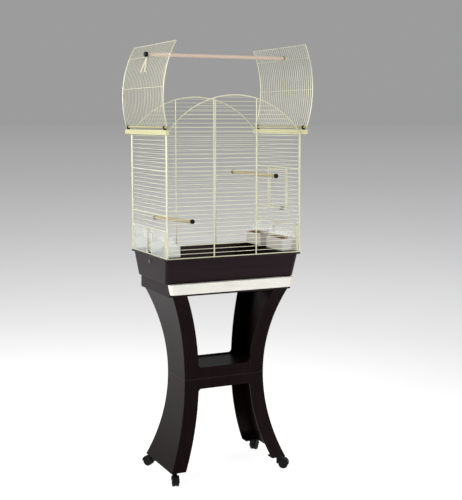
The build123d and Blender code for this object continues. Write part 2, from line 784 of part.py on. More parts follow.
def perch_strut():
    """Moulded A-shaped strut on the outside of the left leaf, under the play perch."""
    arc = arcs[-1]
    inner = leaf_outside + seat_gap
    outer = inner + strut_thickness
    top_z = play_z - play_cap_radius - 2 * seat_gap
    low_z = top_z - strut_drop
    leg = strut_width
    a0, a1 = turn_at(arc, inner, low_z), turn_at(arc, inner, top_z + leg)
    half = strut_spread + leg
    band = sector(arc, inner, outer, a0, a1, -half, half)
    shape = make_face(Polyline(
        (-leg / 2, top_z), (leg / 2, top_z),
        (strut_spread + leg / 2, low_z - leg), (strut_spread - leg / 2, low_z - leg),
        (0, top_z - 2 * leg),
        (leg / 2 - strut_spread, low_z - leg), (-strut_spread - leg / 2, low_z - leg),
        close=True))
    prism = extrude(Plane.YZ * shape, amount=2 * side_skin)
    strut = band & prism
    near = leaf_radius + thin_wire / 2
    for s in (-1, 1):
        y0, y1 = s * strut_spread - leg / 2, s * strut_spread + leg / 2
        strut += sector(arc, near, outer, a0, a0 + degrees(leg / leaf_radius), y0, y1)
    return mirrored(strut, -1)


# ---------------------------------------------------------------- perches

def room_perch(offset, row, fall=0):
    """Dowel from front to rear between two rows of wire, with a cap outside each panel."""
    z = row_z(row) + row_pitch / 2 - fall * row_pitch / 2
    slope = atan2(fall * row_pitch, 2 * front_back)
    end = front_back / cos(slope) + perch_cap_gap
    place = Pos(offset, 0, z) * Rot(-degrees(slope), 0, 0)
    dowel = rod_y(perch_radius, 0, 0, -end, end)
    cap = rod_y(perch_cap_radius, 0, 0, end, end + perch_cap_length)
    return place * dowel, [place * mirror(cap, about=Plane.XZ), place * cap]


cap_in = leaf_face_x(-1, play_z - play_cap_radius, leaf_outside) + play_side_gap
ring_in = leaf_face_x(1, play_z - play_cap_radius, leaf_outside) + play_side_gap


def play_perch():
    return rod_x(play_perch_radius, 0, play_z, -cap_in, ring_in)


def play_perch_ends():
    """A long cap outside the left leaf and a ring outside the right one."""
    cap = rod_x(play_cap_radius, 0, play_z, -cap_in - play_cap_length, -cap_in)
    ring = rod_x(play_cap_radius, 0, play_z, ring_in, ring_in + play_ring_length)
    return [cap, ring]


def play_perch_knob():
    """Turned knob, nearly a ball, on the ring."""
    r = play_knob_radius
    profile = [(0, 0.7 * r), (0.5 * r, r), (1.3 * r, r), (1.9 * r, 0.5 * r)]
    outline = Polyline((0, 0), *profile, (1.9 * r, 0), close=True)
    knob = revolve(make_face(outline), axis=Axis.X)
    return Pos(ring_in + play_ring_length, 0, play_z) * knob


# ---------------------------------------------------------------- output

os.makedirs("parts", exist_ok=True)
save("lower_stand", lower_stand())
save("upper_stand", upper_stand())
for corner in caster_angles:
    place = caster_place(corner)
    save("caster_fork_" + corner, place * caster_fork())
    save("caster_axle_" + corner, place * axle_bar(axle_half))
    save("caster_wheels_" + corner, *[place * wheel for wheel in caster_wheels()])
save("base_housing", base_housing())
save("debris_drawer", debris_drawer())
save("base_tray", base_tray())
save("floor_grille", *floor_grille())
save("front_panel", *end_panel(-1))
save("rear_panel", *end_panel(1))
save("left_panel", *side_panel(-1, False))
save("right_panel", *side_panel(1, True))
for side_name, side in (("left", -1), ("right", 1)):
    for end_name, centre in (("front", -bay_centre), ("rear", bay_centre)):
        save("feeder_cup_" + side_name + "_" + end_name, feeder_cup(side, centre))
        save("feeder_hood_" + side_name + "_" + end_name, feeder_hood(side, centre))
    save(side_name + "_rail", side_rail(side))
    save(side_name + "_hinge_clips", *hinge_clips(side))
    save(side_name + "_hinge_rod", hinge_rod(side))
    save(side_name + "_leaf", *roof_leaf(side))
save("door_eyelets", *door_eyelets())
save("side_door", *side_door())
save("door_latch", door_latch())
for perch_name, offset, row, fall in (("low_perch", low_perch_offset, low_perch_row, low_perch_fall),
                                      ("high_perch", high_perch_offset, high_perch_row, 0)):
    dowel, caps = room_perch(offset, row, fall)
    save(perch_name, dowel)
    save(perch_name + "_caps", *caps)
save("play_perch", play_perch())
save("play_perch_ends", *play_perch_ends())
save("play_perch_knob", play_perch_knob())
save("perch_strut", perch_strut())
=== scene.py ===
import json
import random
from math import asin, atan2, cos, degrees, hypot, pi, radians, sin, sqrt
import bmesh
import bpy
from mathutils import Matrix, Vector


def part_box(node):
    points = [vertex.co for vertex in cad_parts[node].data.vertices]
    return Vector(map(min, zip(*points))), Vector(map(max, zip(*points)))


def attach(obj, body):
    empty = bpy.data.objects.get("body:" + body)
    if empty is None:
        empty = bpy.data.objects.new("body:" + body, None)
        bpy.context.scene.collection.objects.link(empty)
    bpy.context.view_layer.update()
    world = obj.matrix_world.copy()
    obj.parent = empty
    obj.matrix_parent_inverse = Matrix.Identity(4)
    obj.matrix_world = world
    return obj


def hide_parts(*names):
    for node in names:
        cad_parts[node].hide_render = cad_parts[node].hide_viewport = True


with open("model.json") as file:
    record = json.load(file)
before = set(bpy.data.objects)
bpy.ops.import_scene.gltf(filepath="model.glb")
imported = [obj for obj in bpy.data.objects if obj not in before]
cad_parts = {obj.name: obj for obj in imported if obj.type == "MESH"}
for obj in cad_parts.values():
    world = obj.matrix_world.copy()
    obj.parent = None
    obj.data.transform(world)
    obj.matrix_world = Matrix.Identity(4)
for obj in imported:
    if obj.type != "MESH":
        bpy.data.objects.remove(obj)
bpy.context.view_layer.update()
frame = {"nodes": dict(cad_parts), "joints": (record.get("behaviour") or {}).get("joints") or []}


# ---------------------------------------------------------------- studio
# A matt floor board whose colour is painted light: a painted pool of white light where the stand is,
# falling to grey far off as painted shade. It lies under a large soft lamp on the left, weaker ones
# at the front, rear and right, and an even grey sky.

class Signal:
    """A node's output; arithmetic written on it adds Math nodes."""

    def __init__(self, owner, socket):
        self.owner = owner
        self.socket = socket

    def maths(self, operation, other=0.0):
        """This output and another value through a Math node."""
        return self.owner.node("ShaderNodeMath", {"operation": operation}, {0: self, 1: other})

    def __add__(self, other):
        return self.maths("ADD", other)

    __radd__ = __add__

    def __mul__(self, other):
        return self.maths("MULTIPLY", other)

    __rmul__ = __mul__

    def __truediv__(self, other):
        return self.maths("DIVIDE", other)


class NodeTree:
    """A tree of shader nodes, with one method that adds any node."""

    def __init__(self, tree):
        self.tree = tree

    def feed(self, socket, value):
        """Links a node's output to a socket, or sets the socket to a value."""
        if isinstance(value, Signal):
            self.tree.links.new(value.socket, socket)
        elif socket.type == "RGBA" and len(value) == 3:
            socket.default_value = (*value, 1.0)
        else:
            socket.default_value = value

    def node(self, kind, settings=(), inputs=(), output=0):
        """Adds a node of a type, with its settings and the values or links of its sockets."""
        made = self.tree.nodes.new(kind)
        settings = dict(settings)
        stops = settings.pop("stops", [])
        for name, value in settings.items():
            setattr(made, name, value)
        for index, (place, colour) in enumerate(stops):
            elements = made.color_ramp.elements
            stop = elements[index] if index < 2 else elements.new(place)
            stop.position = place
            stop.color = (*colour, 1.0)
        for name, value in dict(inputs).items():
            self.feed(made.inputs[name], value)
        return Signal(self, made.outputs[output])

    def shown(self):
        """1 for what is looked at straight, in a reflection or through clear plastic, else 0."""
        seen = self.node("ShaderNodeLightPath", output="Is Camera Ray")
        for kind in ("Is Glossy Ray", "Is Transmission Ray"):
            seen = seen.maths("MAXIMUM", self.node("ShaderNodeLightPath", output=kind))
        return seen


class Finish(NodeTree):
    """A material on one Principled shader."""

    def __init__(self, name, **sockets):
        self.material = bpy.data.materials.new(name)
        self.material.use_nodes = True
        super().__init__(self.material.node_tree)
        self.shader = self.tree.nodes["Principled BSDF"]
        self.set(**sockets)

    def set(self, **sockets):
        """Feeds the shader's sockets, named with underscores for spaces."""
        for socket, value in sockets.items():
            self.feed(self.shader.inputs[socket.replace("_", " ")], value)

    def place(self, stretch=(1, 1, 1)):
        """The piece's own coordinates, in metres, stretched."""
        coordinates = self.node("ShaderNodeTexCoord", output="Object")
        return self.node("ShaderNodeMapping", {}, {"Vector": coordinates, "Scale": stretch})

    def noise(self, scale, stretch=(1, 1, 1), detail=3.0, roughness=0.55):
        """A cloudy pattern of a scale, on the piece's own coordinates."""
        return self.node("ShaderNodeTexNoise", {}, {
            "Vector": self.place(stretch), "Scale": scale, "Detail": detail, "Roughness": roughness})

    def mix(self, share, first, second):
        """Two colours mixed by a share."""
        return self.node("ShaderNodeMix", {"data_type": "RGBA"},
                         {0: share, 6: first, 7: second}, output=2)

    def ramp(self, share, *stops):
        """A colour read off a scale of stops, by a share."""
        return self.node("ShaderNodeValToRGB", {"stops": stops}, {"Fac": share})

    def bump(self, height, depth, strength):
        """Relief of a depth in metres, fed to the shader's normal."""
        relief = self.node("ShaderNodeBump", {}, {
            "Height": height, "Distance": depth, "Strength": strength})
        self.set(Normal=relief)


def grey(value):
    """A neutral colour, from black at 0 to white at 1."""
    return (value, value, value)


fade_distance = 3.7
board = Finish("floor board", Roughness=0.9, Specular_IOR_Level=0.1)
spot = board.node("ShaderNodeTexCoord", output="Object")
distance = board.node("ShaderNodeVectorMath", {"operation": "LENGTH"}, {0: spot}, output="Value")
far_off = distance / (distance + fade_distance)
# Painted light: white where the stand is, a painted pool of light, greying with distance as painted
# shade.
painted_floor_light = board.ramp(far_off, (0.18, grey(1.0)), (0.26, grey(0.94)),
                          (0.41, grey(0.775)), (0.55, grey(0.68)),
                          (0.70, grey(0.54)), (0.84, grey(0.428)),
                          (0.91, grey(0.387)), (1.0, grey(0.334)))
board.set(Base_Color=painted_floor_light)
glow_share = 0.62
glow = board.node("ShaderNodeEmission", {}, {"Color": painted_floor_light, "Strength": 1.36})
painted = Signal(board, board.shader.outputs[0])
surface = board.node("ShaderNodeMixShader", {}, {0: board.shown() * glow_share, 1: painted, 2: glow})
board.feed(board.tree.nodes["Material Output"].inputs["Surface"], surface)

floor_radius = 500.0
sheet = bmesh.new()
bmesh.ops.create_circle(sheet, cap_ends=True, segments=96, radius=floor_radius)
floor_mesh = bpy.data.meshes.new("floor")
sheet.to_mesh(floor_mesh)
sheet.free()
floor = bpy.data.objects.new("floor", floor_mesh)
floor_mesh.materials.append(board.material)
bpy.context.collection.objects.link(floor)

world = bpy.data.worlds.new("studio")
world.use_nodes = True
bpy.context.scene.world = world
sky = NodeTree(world.node_tree)
even_light = sky.node("ShaderNodeBackground", {}, {"Color": grey(1.0), "Strength": 0.40})
grey_backdrop = sky.node("ShaderNodeBackground", {}, {"Color": grey(0.332)})
sky_mix = sky.node("ShaderNodeMixShader", {}, {0: sky.shown(), 1: even_light, 2: grey_backdrop})
sky.feed(sky.tree.nodes["World Output"].inputs["Surface"], sky_mix)


def soft_lamp(name, place, target, size, watts):
    """A square area lamp turned to a target; the larger it is, the softer its shadows."""
    lamp = bpy.data.lights.new(name, "AREA")
    lamp.shape = "SQUARE"
    lamp.size = size
    lamp.energy = watts
    lamp_stand = bpy.data.objects.new(name, lamp)
    lamp_stand.location = place
    lamp_stand.rotation_euler = (Vector(target) - Vector(place)).to_track_quat("-Z", "Y").to_euler()
    bpy.context.collection.objects.link(lamp_stand)


soft_lamp("left_lamp", (-3.4, -0.9, 1.9), (0, 0, 0.8), 2.6, 112)
soft_lamp("front_lamp", (1.6, -3.4, 3.2), (0, 0, 0.9), 1.6, 40)
soft_lamp("rear_lamp", (-1.6, 2.3, 1.9), (-0.4, 0.8, 0.3), 1.4, 24)
soft_lamp("right_lamp", (1.5, -1.9, 0.7), (0.3, -0.2, 0.25), 0.9, 10)

camera = bpy.data.cameras.new("camera")
camera.sensor_width = 36.0
camera.lens = 72.31
tripod = bpy.data.objects.new("camera", camera)
tripod.location = (-1.5177, -3.3543, 1.2991)
camera_heading = Vector((0.4233, 0.8971, -0.1267))
tripod.rotation_euler = camera_heading.to_track_quat("-Z", "Y").to_euler()
bpy.context.collection.objects.link(tripod)
bpy.context.scene.camera = tripod
bpy.context.scene.view_settings.view_transform = "Standard"


# ---------------------------------------------------------------- stand
# Two moulded halves of dark wood-grained plastic, flaring up and down from the waist, where
# four screws draw them together.

nodes = frame["nodes"]


def drawn_out(along, share):
    """Scales of a pattern that is drawn out along one axis."""
    return tuple(share if axis == along else 1.0 for axis in "XYZ")


def wood_grained(name, along, dark, streak, roughness, shine):
    """Dark moulding with a printed grain that runs along one axis."""
    finish = Finish(name, Specular_IOR_Level=shine, Specular_Tint=(1.0, 0.74, 0.82))
    grain = finish.noise(55.0, drawn_out(along, 0.05), detail=6.0, roughness=0.65)
    pores = finish.noise(420.0, drawn_out(along, 0.04), detail=2.0)
    cloud = finish.noise(4.0, detail=2.0)
    share = finish.ramp(grain, (0.38, grey(0.0)), (0.72, grey(1.0)))
    colour = finish.mix(share * 0.8 + cloud * 0.2, dark, streak)
    finish.set(Base_Color=colour, Roughness=roughness + 0.16 * pores + 0.06 * cloud)
    finish.bump(pores + 0.5 * grain, 0.00012, 0.35)
    return finish


def dress(names, finish):
    """Gives carried-over bodies their finish."""
    for name in names:
        nodes[name].data.materials.clear()
        nodes[name].data.materials.append(finish.material)


stand_moulding = wood_grained("stand moulding", "Z", (0.0016, 0.0004, 0.0003),
                              (0.0070, 0.0022, 0.0017), roughness=0.27, shine=0.08)
dress(["lower_stand", "upper_stand"], stand_moulding)


# ---------------------------------------------------------------- casters
# Black nylon twin-wheel furniture casters: a hood moulded in one with its web and swivel stem,
# and a wheel on each side of the web, both pressed on one steel axle.

mm = 0.001
hinges = {joint["name"]: Vector(joint.get("pos_m", (0, 0, 0))) for joint in frame["joints"]}


def black_moulding(name, roughness):
    """Black plastic with a finely grained skin, a little worn."""
    finish = Finish(name, Specular_IOR_Level=0.14)
    grain = finish.noise(900.0, detail=1.0)
    wear = finish.noise(60.0)
    finish.set(Base_Color=finish.mix(wear, (0.0015, 0.0015, 0.0017), (0.0060, 0.0060, 0.0066)),
               Roughness=roughness + 0.15 * wear)
    finish.bump(grain, 0.00006, 0.4)
    return finish


def in_mm(*points):
    """A profile whose radii and heights are given in millimetres."""
    return [(radius * mm, height * mm) for radius, height in points]


def turned(mesh, profile, place, steps=32):
    """Turns a profile of radius and height about an axis and sets it in place."""
    verts = [mesh.verts.new((radius, 0, height)) for radius, height in profile]
    edges = [mesh.edges.new(pair) for pair in zip(verts, verts[1:])]
    before = set(mesh.verts) - set(verts)
    bmesh.ops.spin(mesh, geom=verts + edges, cent=(0, 0, 0), axis=(0, 0, 1), angle=2 * pi,
                   steps=steps, use_merge=True, use_duplicate=False)
    made = [vert for vert in mesh.verts if vert not in before]
    bmesh.ops.transform(mesh, matrix=place, verts=made)
    bmesh.ops.remove_doubles(mesh, verts=made, dist=0.001 * mm)


def facing(place, heading):
    """A frame at a place with its own Z along a heading."""
    return Matrix.Translation(place) @ Vector(heading).to_track_quat("Z", "Y").to_matrix().to_4x4()


def add_piece(name, mesh, finish, body, replaced=(), crease=40.0):
    """Closes the mesh's open ends, shades it and makes it a piece that rides on a body."""
    loose_ends = [edge for edge in mesh.edges if edge.is_boundary]
    if loose_ends:
        bmesh.ops.holes_fill(mesh, edges=loose_ends, sides=0)
    bmesh.ops.recalc_face_normals(mesh, faces=mesh.faces)
    for face in mesh.faces:
        face.smooth = True
    for edge in mesh.edges:
        edge.smooth = edge.calc_face_angle(0.0) < radians(crease)
    data = bpy.data.meshes.new(name)
    mesh.to_mesh(data)
    mesh.free()
    data.materials.append(finish.material)
    piece = bpy.data.objects.new(name, data)
    bpy.context.collection.objects.link(piece)
    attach(piece, body)
    if replaced:
        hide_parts(*replaced)
    return piece


caster_nylon = black_moulding("caster nylon", 0.36)
tread_nylon = black_moulding("wheel tread", 0.5)
screw_steel = Finish("zinc screw steel", Metallic=1.0)
tarnish = screw_steel.noise(300.0)
screw_steel.set(Base_Color=screw_steel.mix(tarnish, (0.42, 0.42, 0.43), (0.66, 0.66, 0.67)),
                Roughness=0.28 + 0.2 * tarnish)

wheel_profile = in_mm((0, 0), (17.0, 0), (17.7, 0.4), (18.0, 1.3), (18.0, 7.6), (17.6, 8.6),
                      (16.8, 9.0), (14.6, 9.0), (13.8, 7.7), (7.4, 7.3), (6.2, 8.5), (2.9, 8.7),
                      (2.4, 8.2), (0, 8.2))
wheel_inner_face = 2.8 * mm
for corner in ("front_left", "rear_left", "front_right", "rear_right"):
    dress(["caster_fork_" + corner], caster_nylon)
    dress(["caster_axle_" + corner], screw_steel)
    swivel = hinges["swivel_" + corner]
    axle = hinges["roll_" + corner]
    along = Vector((swivel.y - axle.y, axle.x - swivel.x, 0)).normalized()
    pair = bmesh.new()
    for sign in (-1, 1):
        place = facing(axle + along * sign * wheel_inner_face, along * sign)
        turned(pair, wheel_profile, place, 40)
    add_piece("wheel_pair_" + corner, pair, tread_nylon, "wheels_" + corner,
              ["caster_wheels_" + corner], 30.0)


# ---------------------------------------------------------------- drawer housing and drawer
# The housing that the tray stands on, of dark plastic a little lighter than the stand's, and
# the debris drawer with its off-white front, which slides out towards the front.

def round_edges(names, width):
    """Rounds the sharp edges of carried-over bodies, as their mould does."""
    for name in names:
        welding = nodes[name].modifiers.new("joined faces", "WELD")
        welding.merge_threshold = 0.01 * mm
        rounding = nodes[name].modifiers.new("rounded edges", "BEVEL")
        rounding.width = width
        rounding.segments = 2
        rounding.limit_method = "ANGLE"
        rounding.angle_limit = radians(50)
        rounding.use_clamp_overlap = False
        levelling = nodes[name].modifiers.new("flat faces stay flat", "WEIGHTED_NORMAL")
        levelling.keep_sharp = True


base_moulding = wood_grained("base moulding", "X", (0.0040, 0.0016, 0.0020),
                             (0.0100, 0.0052, 0.0062), roughness=0.26, shine=0.16)
dress(["base_housing", "base_tray"], base_moulding)
round_edges(["base_housing", "base_tray"], 1.2 * mm)

drawer_white = Finish("drawer white")
cloud = drawer_white.noise(14.0)
drawer_white.set(Base_Color=drawer_white.mix(cloud, (0.76, 0.75, 0.67), (0.86, 0.85, 0.78)),
                 Roughness=0.3 + 0.15 * cloud)
drawer_white.bump(drawer_white.noise(700.0, detail=1.0), 0.00005, 0.3)
dress(["debris_drawer"], drawer_white)
round_edges(["debris_drawer"], 0.8 * mm)


# ---------------------------------------------------------------- tray buttons
# Round snap buttons of dark grey plastic, lighter than the tray. One is pressed through the
# tray's left wall and one through its right, each with a groove round a low dome.

button_moulding = wood_grained("button moulding", "X", (0.085, 0.072, 0.085),
                               (0.125, 0.108, 0.125), roughness=0.3, shine=0.3)
button_profile = in_mm((0, 0), (8, 0), (8, 3.2), (7.2, 4.2), (6.0, 4.4), (5.6, 3.9), (3.5, 4.5),
                       (0, 4.7))
button_height = 66 * mm
button_sunk = 1.5 * mm
tray_foot_half = 251 * mm
wall_slope = 8 / 85
button_tilt = 0.094
button_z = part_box("base_tray")[0].z + button_height
button_x = tray_foot_half + wall_slope * button_height - button_sunk
buttons = bmesh.new()
for side in (-1, 1):
    place = facing((side * button_x, 0, button_z), (side, 0, -button_tilt))
    turned(buttons, button_profile, place)
add_piece("tray_snap_buttons", buttons, button_moulding, "cage")


# ---------------------------------------------------------------- waist screws
# Four zinc pan-head screws, with a cross in the recess of each head, driven up through the
# waist web of the lower half into the upper one.

waist_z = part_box("lower_stand")[1].z
screw_profile = in_mm((0, 0), (4.5, 0), (4.5, 1.2), (3.6, 2.3), (1.9, 2.9), (1.7, 1.5), (0, 1.1))
web_thickness = 4 * mm
screw_x = 136.5 * mm
screw_y = 60 * mm
cross_height = 2.2 * mm
cross_arm = Matrix.Diagonal((3.6 * mm, 0.7 * mm, 1.0 * mm, 1))
screws = bmesh.new()
for x in (-screw_x, screw_x):
    for y in (-screw_y, screw_y):
        place = facing((x, y, waist_z - web_thickness), (0, 0, -1))
        turned(screws, screw_profile, place, 24)
        for turn in (0, pi / 2):
            arm = place @ Matrix.Rotation(turn, 4, "Z") @ Matrix.Translation((0, 0, cross_height))
            bmesh.ops.create_cube(screws, size=1.0, matrix=arm @ cross_arm)
add_piece("waist_screw_heads", screws, screw_steel, "cage")


# ---------------------------------------------------------------- floor grille
# Welded floor of lacquered wire over the drawer: a frame that rests on the tray's ledge and
# thin bars laid front to rear on it.

wire_lacquer = Finish("lacquered wire", Metallic=0.55, Coat_Weight=0.35, Coat_Roughness=0.12)
patch = wire_lacquer.noise(22.0)
wire_lacquer.set(Base_Color=wire_lacquer.mix(patch, (0.60, 0.59, 0.41), (0.72, 0.71, 0.53)),
                 Roughness=0.26 + 0.16 * patch)
wire_lacquer.bump(wire_lacquer.noise(1500.0, detail=1.0), 0.00004, 0.3)

thin = 1.6 * mm
thick = 4.5 * mm
thick_sides = 10


class Wire:
    """A round wire, drawn on and bent the way a wire bender does it."""

    def __init__(self, mesh, start, heading, gauge, sides=8):
        self.mesh = mesh
        self.end = Vector(start)
        self.heading = Vector(heading).normalized()
        made = bmesh.ops.create_circle(mesh, segments=sides, radius=gauge / 2,
                                       matrix=facing(self.end, self.heading))
        self.ring = list({edge for vert in made["verts"] for edge in vert.link_edges})

    def run(self, length):
        """Draws the wire straight on."""
        made = bmesh.ops.extrude_edge_only(self.mesh, edges=self.ring)["geom"]
        verts = [item for item in made if isinstance(item, bmesh.types.BMVert)]
        fresh = set(verts)
        self.ring = [item for item in made if isinstance(item, bmesh.types.BMEdge)
                     and fresh.issuperset(item.verts)]
        bmesh.ops.translate(self.mesh, verts=verts, vec=self.heading * length)
        self.end = self.end + self.heading * length
        return self

    def bend(self, axis, radius, angle, steps):
        """Bends the wire about an axis, by an angle in degrees, on a radius to its middle line."""
        axis = Vector(axis).normalized()
        centre = self.end + axis.cross(self.heading) * radius
        geometry = self.ring + list({vert for edge in self.ring for vert in edge.verts})
        made = bmesh.ops.spin(self.mesh, geom=geometry, cent=centre, axis=axis,
                              angle=radians(angle), steps=steps, use_duplicate=False)
        self.ring = [item for item in made["geom_last"] if isinstance(item, bmesh.types.BMEdge)]
        swing = Matrix.Rotation(radians(angle), 3, axis)
        self.end = centre + swing @ (self.end - centre)
        self.heading = swing @ self.heading
        return self


def bar(mesh, start, end, gauge, sides=8):
    """A straight wire between two points."""
    way = Vector(end) - Vector(start)
    return Wire(mesh, start, way, gauge, sides).run(way.length)


grille_low, grille_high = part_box("floor_grille")
frame_gauge = 4.0 * mm
corner_bend = 6 * mm
grille_bars = 30
bar_pitch = 15 * mm
bar_end_gap = 0.5 * mm
frame_z = grille_low.z + frame_gauge / 2
left = grille_low.x + frame_gauge / 2
right = grille_high.x - frame_gauge / 2
front = grille_low.y + frame_gauge / 2
back = grille_high.y - frame_gauge / 2
grille = bmesh.new()
outline = Wire(grille, (0, front, frame_z), (1, 0, 0), frame_gauge)
outline.run(right - corner_bend)
for length in (back - front, right - left, back - front):
    outline.bend((0, 0, 1), corner_bend, 90, 4).run(length - 2 * corner_bend)
outline.bend((0, 0, 1), corner_bend, 90, 4).run(right - corner_bend)
bmesh.ops.remove_doubles(grille, verts=grille.verts, dist=0.01 * mm)
bar_z = grille_low.z + frame_gauge + thin / 2
for index in range(grille_bars):
    x = bar_pitch * (index - (grille_bars - 1) / 2)
    bar(grille, (x, grille_low.y + bar_end_gap, bar_z), (x, grille_high.y - bar_end_gap, bar_z), thin)
add_piece("wire_floor", grille, wire_lacquer, "cage", ["floor_grille"])


# ---------------------------------------------------------------- waist seam
# A slim rounded bead moulded round the top edge of the lower half, just below the joint
# where the two halves of the stand meet.

waist_half_width = 158.5 * mm
waist_half_depth = 82 * mm
seam_gauge = 4.0 * mm
seam_proud = 1.0 * mm
seam_x = waist_half_width - seam_gauge / 2 + seam_proud
seam_y = waist_half_depth - seam_gauge / 2 + seam_proud
seam_z = waist_z - seam_gauge / 2
seam = bmesh.new()
for sign in (-1, 1):
    bar(seam, (-seam_x, sign * seam_y, seam_z), (seam_x, sign * seam_y, seam_z), seam_gauge, 16)
    bar(seam, (sign * seam_x, -seam_y, seam_z), (sign * seam_x, seam_y, seam_z), seam_gauge, 16)
add_piece("waist_seam_bead", seam, base_moulding, "cage")


# ---------------------------------------------------------------- front and rear panels
# Each end panel is one thick wire bent into an arched frame, two thick uprights welded in
# it, and thin rows welded across their inner side, 15 mm apart.

body_low, body_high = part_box("front_panel")
rim_z = body_low.z
apex_z = body_high.z
half_body = body_high.x
eave_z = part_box("left_panel")[1].z
arch_rise = apex_z - eave_z
arch_radius = (half_body ** 2 + arch_rise ** 2) / (2 * arch_rise)
arch_centre_z = apex_z - arch_radius
upright_x = 82.0 * mm
row_pitch = 15.0 * mm
foot_z = rim_z + thick / 2


def row_heights(low, high):
    """Heights of the thin rows between two heights; every panel counts them from its foot wire."""
    count = int((high - foot_z) / row_pitch) + 1
    heights = [foot_z + index * row_pitch for index in range(1, count + 1)]
    return [z for z in heights if low < z < high]


def end_panel(outer_y, inner_y):
    """One arched panel; inner_y is the side that faces the birds."""
    panel = bmesh.new()
    step = 1 if inner_y > outer_y else -1
    y = outer_y + step * thick / 2
    row_y = outer_y + step * (thick + thin / 2)
    half = half_body - thick / 2
    middle_radius = arch_radius - thick / 2
    heel = 7 * mm
    kink = 12 * mm
    kink_z = arch_centre_z + sqrt((middle_radius - kink) ** 2 - (half - kink) ** 2)
    turn = degrees(atan2(kink_z - arch_centre_z, half - kink))
    inward = (0, -1, 0)
    loop = Wire(panel, (0, y, foot_z), (1, 0, 0), thick, thick_sides)
    loop.run(half - heel).bend(inward, heel, 90, 5)
    loop.run(kink_z - foot_z - heel).bend(inward, kink, turn, 4)
    loop.bend(inward, middle_radius, 180 - 2 * turn, 48)
    loop.bend(inward, kink, turn, 4).run(kink_z - foot_z - heel)
    loop.bend(inward, heel, 90, 5).run(half - heel)
    bmesh.ops.remove_doubles(panel, verts=panel.verts, dist=0.2 * mm)
    for x in (-upright_x, upright_x):
        top = arch_centre_z + sqrt(middle_radius ** 2 - x ** 2)
        bar(panel, (x, y, foot_z), (x, y, top), thick, thick_sides)
    for z in row_heights(foot_z, apex_z - thick - thin):
        reach = half
        if z >= kink_z:
            reach = min(half, sqrt(middle_radius ** 2 - (z + thin / 2 - arch_centre_z) ** 2))
        bar(panel, (-reach, row_y, z), (reach, row_y, z), thin)
    return panel


front_wires = end_panel(body_low.y, body_high.y)
add_piece("front_wires", front_wires, wire_lacquer, "cage", ["front_panel"])
rear_low, rear_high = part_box("rear_panel")
rear_wires = end_panel(rear_high.y, rear_low.y)
add_piece("rear_wires", rear_wires, wire_lacquer, "cage", ["rear_panel"])


# ---------------------------------------------------------------- side panels
# Flat panels of the same wire between the end panels: posts and five thick rails outside,
# thin rows welded inside, left out at the feeder bays and, on the right, at the door.

panel_half_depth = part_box("right_panel")[1].y
sill_z = hinges["side_door_hinge"].z
door_opening = 154 * mm
head_wire_z = sill_z + door_opening
bay_height = 98 * mm
header_z = rim_z + bay_height
bay_inner = 24 * mm
bay_outer = 152 * mm
door_half = 70 * mm


def side_panel(side, with_door):
    """One side panel: its posts, rails, bay and door uprights, and the thin rows."""
    panel = bmesh.new()
    x = side * (half_body - thick / 2)
    row_x = side * (half_body - thick - thin / 2)
    post_y = panel_half_depth - thick / 2
    top = eave_z - thick / 2
    for y in (-post_y, post_y):
        bar(panel, (x, y, rim_z), (x, y, eave_z), thick, thick_sides)
    for z in (foot_z, header_z, sill_z, head_wire_z, top):
        bar(panel, (x, -post_y, z), (x, post_y, z), thick, thick_sides)
    for sign in (-1, 1):
        for y in (bay_inner - thick / 2, bay_outer + thick / 2):
            bar(panel, (x, sign * y, foot_z), (x, sign * y, header_z), thick, thick_sides)
        if with_door:
            y = sign * (door_half + thick / 2)
            bar(panel, (x, y, sill_z), (x, y, head_wire_z), thick, thick_sides)
    end = panel_half_depth
    for z in row_heights(foot_z, top - thin):
        spans = [(-end, end)]
        if z < header_z + thick / 2:
            spans = [(-end, -bay_outer), (-bay_inner, bay_inner), (bay_outer, end)]
        elif with_door and sill_z - thick < z < head_wire_z + thick:
            spans = [(-end, -door_half), (door_half, end)]
        for start, stop in spans:
            bar(panel, (row_x, start, z), (row_x, stop, z), thin)
    return panel


add_piece("left_wires", side_panel(-1, with_door=False), wire_lacquer, "cage", ["left_panel"])
add_piece("right_wires", side_panel(1, with_door=True), wire_lacquer, "cage", ["right_panel"])


# ---------------------------------------------------------------- side door
# A small wire door. Its frame is bent from one wire whose rear side runs on as the hinge pin
# through two eyes, with a collar over the lower one; a black plastic catch at the foot snaps
# over the sill wire.

pin_x = hinges["side_door_hinge"].x
pin_y = hinges["side_door_hinge"].y
pin_low, pin_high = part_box("side_door")
door_gauge = 3.0 * mm
door_gap = 4 * mm
door_bend = 5 * mm
free_y = -door_half + door_gauge / 2
hoop_width = pin_y - free_y
hoop_low = sill_z + thick / 2 + door_gap + door_gauge / 2
hoop_high = head_wire_z - thick / 2 - door_gap - door_gauge / 2
outward = (-1, 0, 0)
door = bmesh.new()
bar(door, (pin_x, pin_y, pin_low.z), (pin_x, pin_y, pin_high.z), door_gauge, 10)
hoop = Wire(door, (pin_x, pin_y, hoop_low), (0, -1, 0), door_gauge, 10)
hoop.run(hoop_width - door_bend).bend(outward, door_bend, 90, 5)
hoop.run(hoop_high - hoop_low - 2 * door_bend).bend(outward, door_bend, 90, 5)
hoop.run(hoop_width - door_bend)
for z in row_heights(hoop_low + door_gauge + thin / 2, hoop_high - door_gauge):
    bar(door, (pin_x, free_y, z), (pin_x, pin_y, z), thin)
collar_low = sill_z + 1.8 * mm
collar_gauge = 6.4 * mm
bar(door, (pin_x, pin_y, collar_low), (pin_x, pin_y, hoop_low), collar_gauge, 16)
add_piece("side_door_wires", door, wire_lacquer, "door", ["side_door"])

